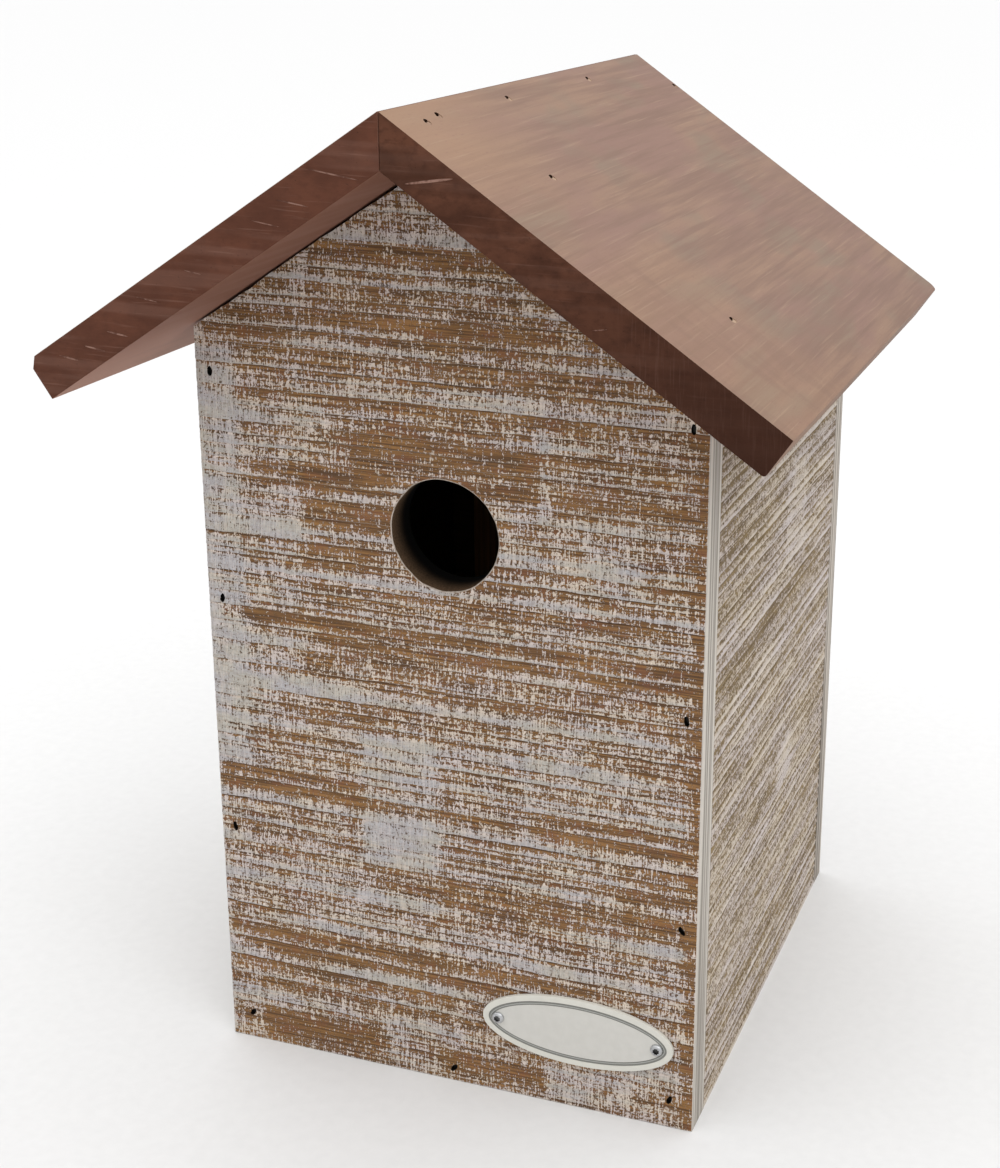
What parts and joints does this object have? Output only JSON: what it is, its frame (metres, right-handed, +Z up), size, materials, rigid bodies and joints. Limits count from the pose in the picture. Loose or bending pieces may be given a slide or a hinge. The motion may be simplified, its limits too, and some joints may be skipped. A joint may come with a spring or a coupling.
{
  "type": "bird nest box",
  "caption": "Gabled wooden bird nest box with a round entrance, an oval plate on the front, and in the back a cleaning hatch on butt hinges, a turn button and a hanger plate.",
  "frame": {"origin": "middle of the base, on the surface that the box stands on", "axes": "+Z up; the front with the entrance looks along -Y; the ridge runs along Y"},
  "size_m": [0.2098, 0.2009, 0.292],
  "materials": {
    "whitewashed_board": "rough sawn, stained brown and dry-brushed with white",
    "stained_roof_board": "planed, with a thin brown stain",
    "bare_board": "bare",
    "cream_plate": "satin enamel",
    "zinc_steel": "zinc plated"
  },
  "bodies": {
    "box": {"front_panel": "whitewashed_board", "back_panel": "whitewashed_board", "left_side_panel": "whitewashed_board", "right_side_panel": "whitewashed_board", "left_roof_board": "stained_roof_board", "right_roof_board": "stained_roof_board", "floor_panel": "bare_board", "hatch_stop_battens": "bare_board", "oval_plate": "cream_plate", "front_left_brads": "zinc_steel", "front_right_brads": "zinc_steel", "front_floor_brad": "zinc_steel", "back_left_brads": "zinc_steel", "back_right_brads": "zinc_steel", "back_floor_brad": "zinc_steel", "left_roof_front_brads": "zinc_steel", "right_roof_front_brads": "zinc_steel", "left_roof_back_brads": "zinc_steel", "right_roof_back_brads": "zinc_steel", "ridge_brads": "zinc_steel", "oval_plate_screws": "zinc_steel", "hanger_plate": "zinc_steel", "hanger_screws": "zinc_steel", "lower_hinge_frame_leaf": "zinc_steel", "lower_hinge_pin": "zinc_steel", "upper_hinge_frame_leaf": "zinc_steel", "upper_hinge_pin": "zinc_steel", "hinge_frame_screws": "zinc_steel", "turn_button_washer": "zinc_steel", "turn_button_screw": "zinc_steel"},
    "hatch": {"cleaning_hatch": "whitewashed_board", "lower_hinge_hatch_leaf": "zinc_steel", "upper_hinge_hatch_leaf": "zinc_steel", "hinge_hatch_screws": "zinc_steel"},
    "button": {"turn_button": "zinc_steel"}
  },
  "joints": [
    {"name": "hatch_hinge", "type": "hinge", "parent": "box", "child": "hatch", "pos_m": [-0.04725, 0.0833, 0.084], "axis": [0, 0, 1], "range_deg": [0, 170]},
    {"name": "button_pivot", "type": "hinge", "parent": "box", "child": "button", "pos_m": [0.0575, 0.0818, 0.084], "axis": [0, 1, 0], "continuous": true}
  ]
}
